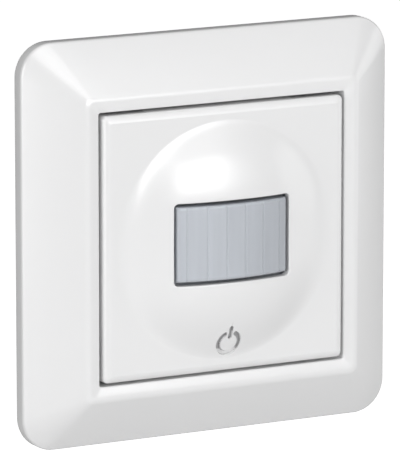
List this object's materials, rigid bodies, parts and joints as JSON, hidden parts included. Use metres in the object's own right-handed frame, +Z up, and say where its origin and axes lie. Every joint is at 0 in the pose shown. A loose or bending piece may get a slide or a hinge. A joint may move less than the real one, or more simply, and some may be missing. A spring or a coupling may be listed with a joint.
{
  "type": "motion sensor light switch",
  "caption": "Flush wall switch with a domed tilting button, faceted motion sensor lens, bevelled surround frame, steel mounting ring and a switching insert with expanding claws.",
  "frame": {"origin": "centre of the two box screws, on the wall plane where the steel ring's back lies", "axes": "+Z up the wall, +X to the right as seen from the room, +Y into the wall, so the front faces -Y"},
  "size_m": [0.084, 0.0447, 0.084],
  "materials": {
    "frame_plastic": "glossy white thermoplastic",
    "cover_plastic": "glossy white thermoplastic",
    "lens_plastic": "milky translucent polyethylene",
    "dark_plastic": "moulded, fine matt texture",
    "carrier_plastic": "moulded, light grey",
    "board_laminate": "glass epoxy laminate with a green coating",
    "screw_steel": "zinc plated",
    "detector_can": "nickel plated, satin",
    "filter_glass": "dark silicon filter",
    "clear_resin": "clear epoxy resin",
    "lamp_resin": "tinted resin",
    "chip_resin": "moulded epoxy",
    "switch_plastic": "moulded",
    "plunger_plastic": "moulded",
    "trimmer_plastic": "moulded, blue",
    "rotor_plastic": "moulded, ivory",
    "spring_steel": "drawn spring steel",
    "pin_brass": "gold plated",
    "ring_steel": "zinc plated sheet steel",
    "housing_plastic": "moulded, off white",
    "lid_plastic": "moulded, off white",
    "relay_plastic": "sealed case",
    "film_capacitor_plastic": "resin filled box",
    "can_sleeve": "shrink sleeve",
    "varistor_resin": "dipped epoxy",
    "choke_sleeve": "shrink sleeve over a ferrite core",
    "fuse_sleeve": "moulded",
    "terminal_plastic": "moulded, grey",
    "contact_copper": "copper alloy strip",
    "release_grey": "moulded, dark grey",
    "release_blue": "moulded, blue",
    "claw_steel": "zinc plated pressed steel"
  },
  "bodies": {
    "module": {"surround_frame": "frame_plastic", "fresnel_lens": "lens_plastic", "lens_hood": "dark_plastic", "sensor_carrier": "carrier_plastic", "sensor_board": "board_laminate", "board_screws": "screw_steel", "pir_detector": "detector_can", "pir_filter": "filter_glass", "light_sensor": "clear_resin", "status_light": "lamp_resin", "control_chip": "chip_resin", "push_switch": "switch_plastic", "trimmer_bodies": "trimmer_plastic", "return_springs": "spring_steel", "plug_pins": "pin_brass", "pin_strip": "dark_plastic", "mounting_ring": "ring_steel", "ring_screws": "screw_steel", "insert_housing": "housing_plastic", "insert_lid": "lid_plastic", "plug_socket": "dark_plastic", "power_board": "board_laminate", "relay": "relay_plastic", "film_capacitor": "film_capacitor_plastic", "can_capacitor": "can_sleeve", "varistor": "varistor_resin", "choke": "choke_sleeve", "fuse": "fuse_sleeve", "terminal_blocks": "terminal_plastic", "terminal_contacts": "contact_copper", "clamp_springs": "spring_steel"},
    "cover": {"button_cover": "cover_plastic"},
    "plunger": {"push_plunger": "plunger_plastic"},
    "time_rotor": {"time_trimmer": "rotor_plastic"},
    "light_level_rotor": {"light_level_trimmer": "rotor_plastic"},
    "range_rotor": {"range_trimmer": "rotor_plastic"},
    "live_release": {"release_live": "release_grey"},
    "neutral_release": {"release_neutral": "release_blue"},
    "lamp_release": {"release_lamp": "release_grey"},
    "extension_release": {"release_extension": "release_grey"},
    "top_claw": {"claw_top": "claw_steel"},
    "bottom_claw": {"claw_bottom": "claw_steel"},
    "top_claw_screw": {"claw_screw_top": "screw_steel"},
    "bottom_claw_screw": {"claw_screw_bottom": "screw_steel"},
    "top_claw_nut": {"claw_nut_top": "claw_steel"},
    "bottom_claw_nut": {"claw_nut_bottom": "claw_steel"}
  },
  "joints": [
    {"name": "cover_tilt", "type": "hinge", "parent": "module", "child": "cover", "pos_m": [0, -0.0064, 0.0219], "axis": [1, 0, 0], "range_deg": [0, 0.75], "stiffness_Nm_per_rad": 4, "springref_deg": -0.57, "deforming": ["return_springs"]},
    {"name": "plunger_slide", "type": "slide", "parent": "module", "child": "plunger", "axis": [0, 1, 0], "range_m": [0, 0.00056]},
    {"name": "time_turn", "type": "hinge", "parent": "module", "child": "time_rotor", "pos_m": [-0.012, -0.007, 0.0168], "axis": [0, 1, 0], "range_deg": [-135, 135]},
    {"name": "light_level_turn", "type": "hinge", "parent": "module", "child": "light_level_rotor", "pos_m": [0, -0.007, 0.0168], "axis": [0, 1, 0], "range_deg": [-135, 135]},
    {"name": "range_turn", "type": "hinge", "parent": "module", "child": "range_rotor", "pos_m": [0.012, -0.007, 0.0168], "axis": [0, 1, 0], "range_deg": [-135, 135]},
    {"name": "live_push", "type": "slide", "parent": "module", "child": "live_release", "axis": [0, -1, 0], "range_m": [0, 0.0012], "stiffness_N_per_m": 2000, "springref_m": -0.0005, "deforming": ["clamp_springs"]},
    {"name": "neutral_push", "type": "slide", "parent": "module", "child": "neutral_release", "axis": [0, -1, 0], "range_m": [0, 0.0012], "stiffness_N_per_m": 2000, "springref_m": -0.0005, "deforming": ["clamp_springs"]},
    {"name": "lamp_push", "type": "slide", "parent": "module", "child": "lamp_release", "axis": [0, -1, 0], "range_m": [0, 0.0012], "stiffness_N_per_m": 2000, "springref_m": -0.0005, "deforming": ["clamp_springs"]},
    {"name": "extension_push", "type": "slide", "parent": "module", "child": "extension_release", "axis": [0, -1, 0], "range_m": [0, 0.0012], "stiffness_N_per_m": 2000, "springref_m": -0.0005, "deforming": ["clamp_springs"]},
    {"name": "top_screw_turn", "type": "hinge", "parent": "module", "child": "top_claw_screw", "pos_m": [0, 0, 0.02365], "axis": [0, 1, 0], "range_deg": [0, 3600]},
    {"name": "top_nut_lift", "type": "slide", "parent": "module", "child": "top_claw_nut", "axis": [0, -1, 0], "range_m": [0, 0.005]},
    {"name": "top_claw_swing", "type": "hinge", "parent": "module", "child": "top_claw", "pos_m": [0, 0.0026, 0.0266], "axis": [1, 0, 0], "range_deg": [0, 15]},
    {"name": "bottom_screw_turn", "type": "hinge", "parent": "module", "child": "bottom_claw_screw", "pos_m": [0, 0, -0.02365], "axis": [0, 1, 0], "range_deg": [0, 3600]},
    {"name": "bottom_nut_lift", "type": "slide", "parent": "module", "child": "bottom_claw_nut", "axis": [0, -1, 0], "range_m": [0, 0.005]},
    {"name": "bottom_claw_swing", "type": "hinge", "parent": "module", "child": "bottom_claw", "pos_m": [0, 0.0026, -0.0266], "axis": [-1, 0, 0], "range_deg": [0, 15]}
  ],
  "couplings": [
    {"joint": "plunger_slide", "follows": "cover_tilt", "m_per_rad": 0.0409},
    {"joint": "top_screw_turn", "follows": "top_nut_lift", "rad_per_m": 12566},
    {"joint": "top_claw_swing", "follows": "top_nut_lift", "rad_per_m": 52.36},
    {"joint": "bottom_screw_turn", "follows": "bottom_nut_lift", "rad_per_m": 12566},
    {"joint": "bottom_claw_swing", "follows": "bottom_nut_lift", "rad_per_m": 52.36}
  ]
}
